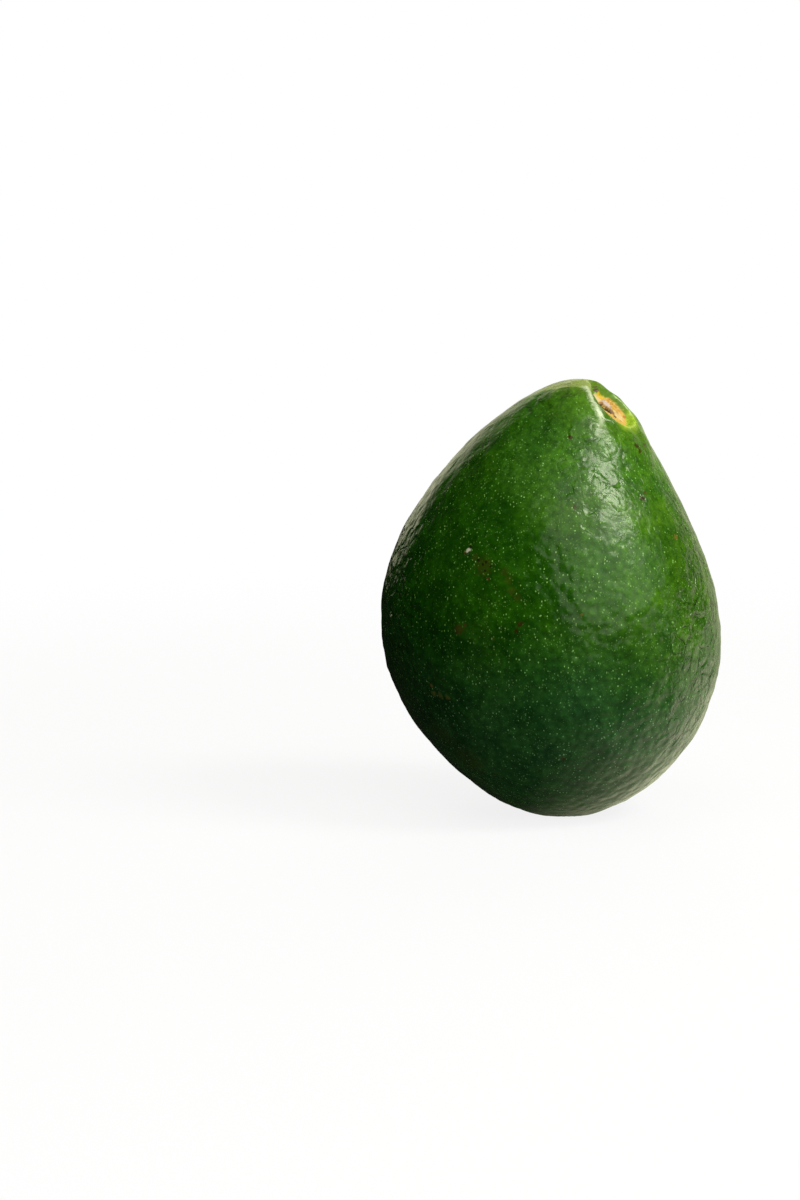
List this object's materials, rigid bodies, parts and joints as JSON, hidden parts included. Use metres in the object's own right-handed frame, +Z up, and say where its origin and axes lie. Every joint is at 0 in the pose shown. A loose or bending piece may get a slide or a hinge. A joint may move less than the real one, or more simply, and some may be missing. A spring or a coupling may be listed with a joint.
{
  "type": "avocado",
  "caption": "Whole green avocado with glossy pebbled skin and an open stem scar, standing on a small flat spot at its broad end.",
  "frame": {"origin": "on the surface that the fruit rests on, under the middle of its outline", "axes": "+X right, towards the side that the stem scar leans to; +Y away from the front; +Z up"},
  "size_m": [0.0781, 0.0748, 0.1003],
  "materials": {
    "skin": "glossy pebbled fruit skin"
  },
  "bodies": {
    "root": {"avocado": "skin"}
  },
  "joints": []
}
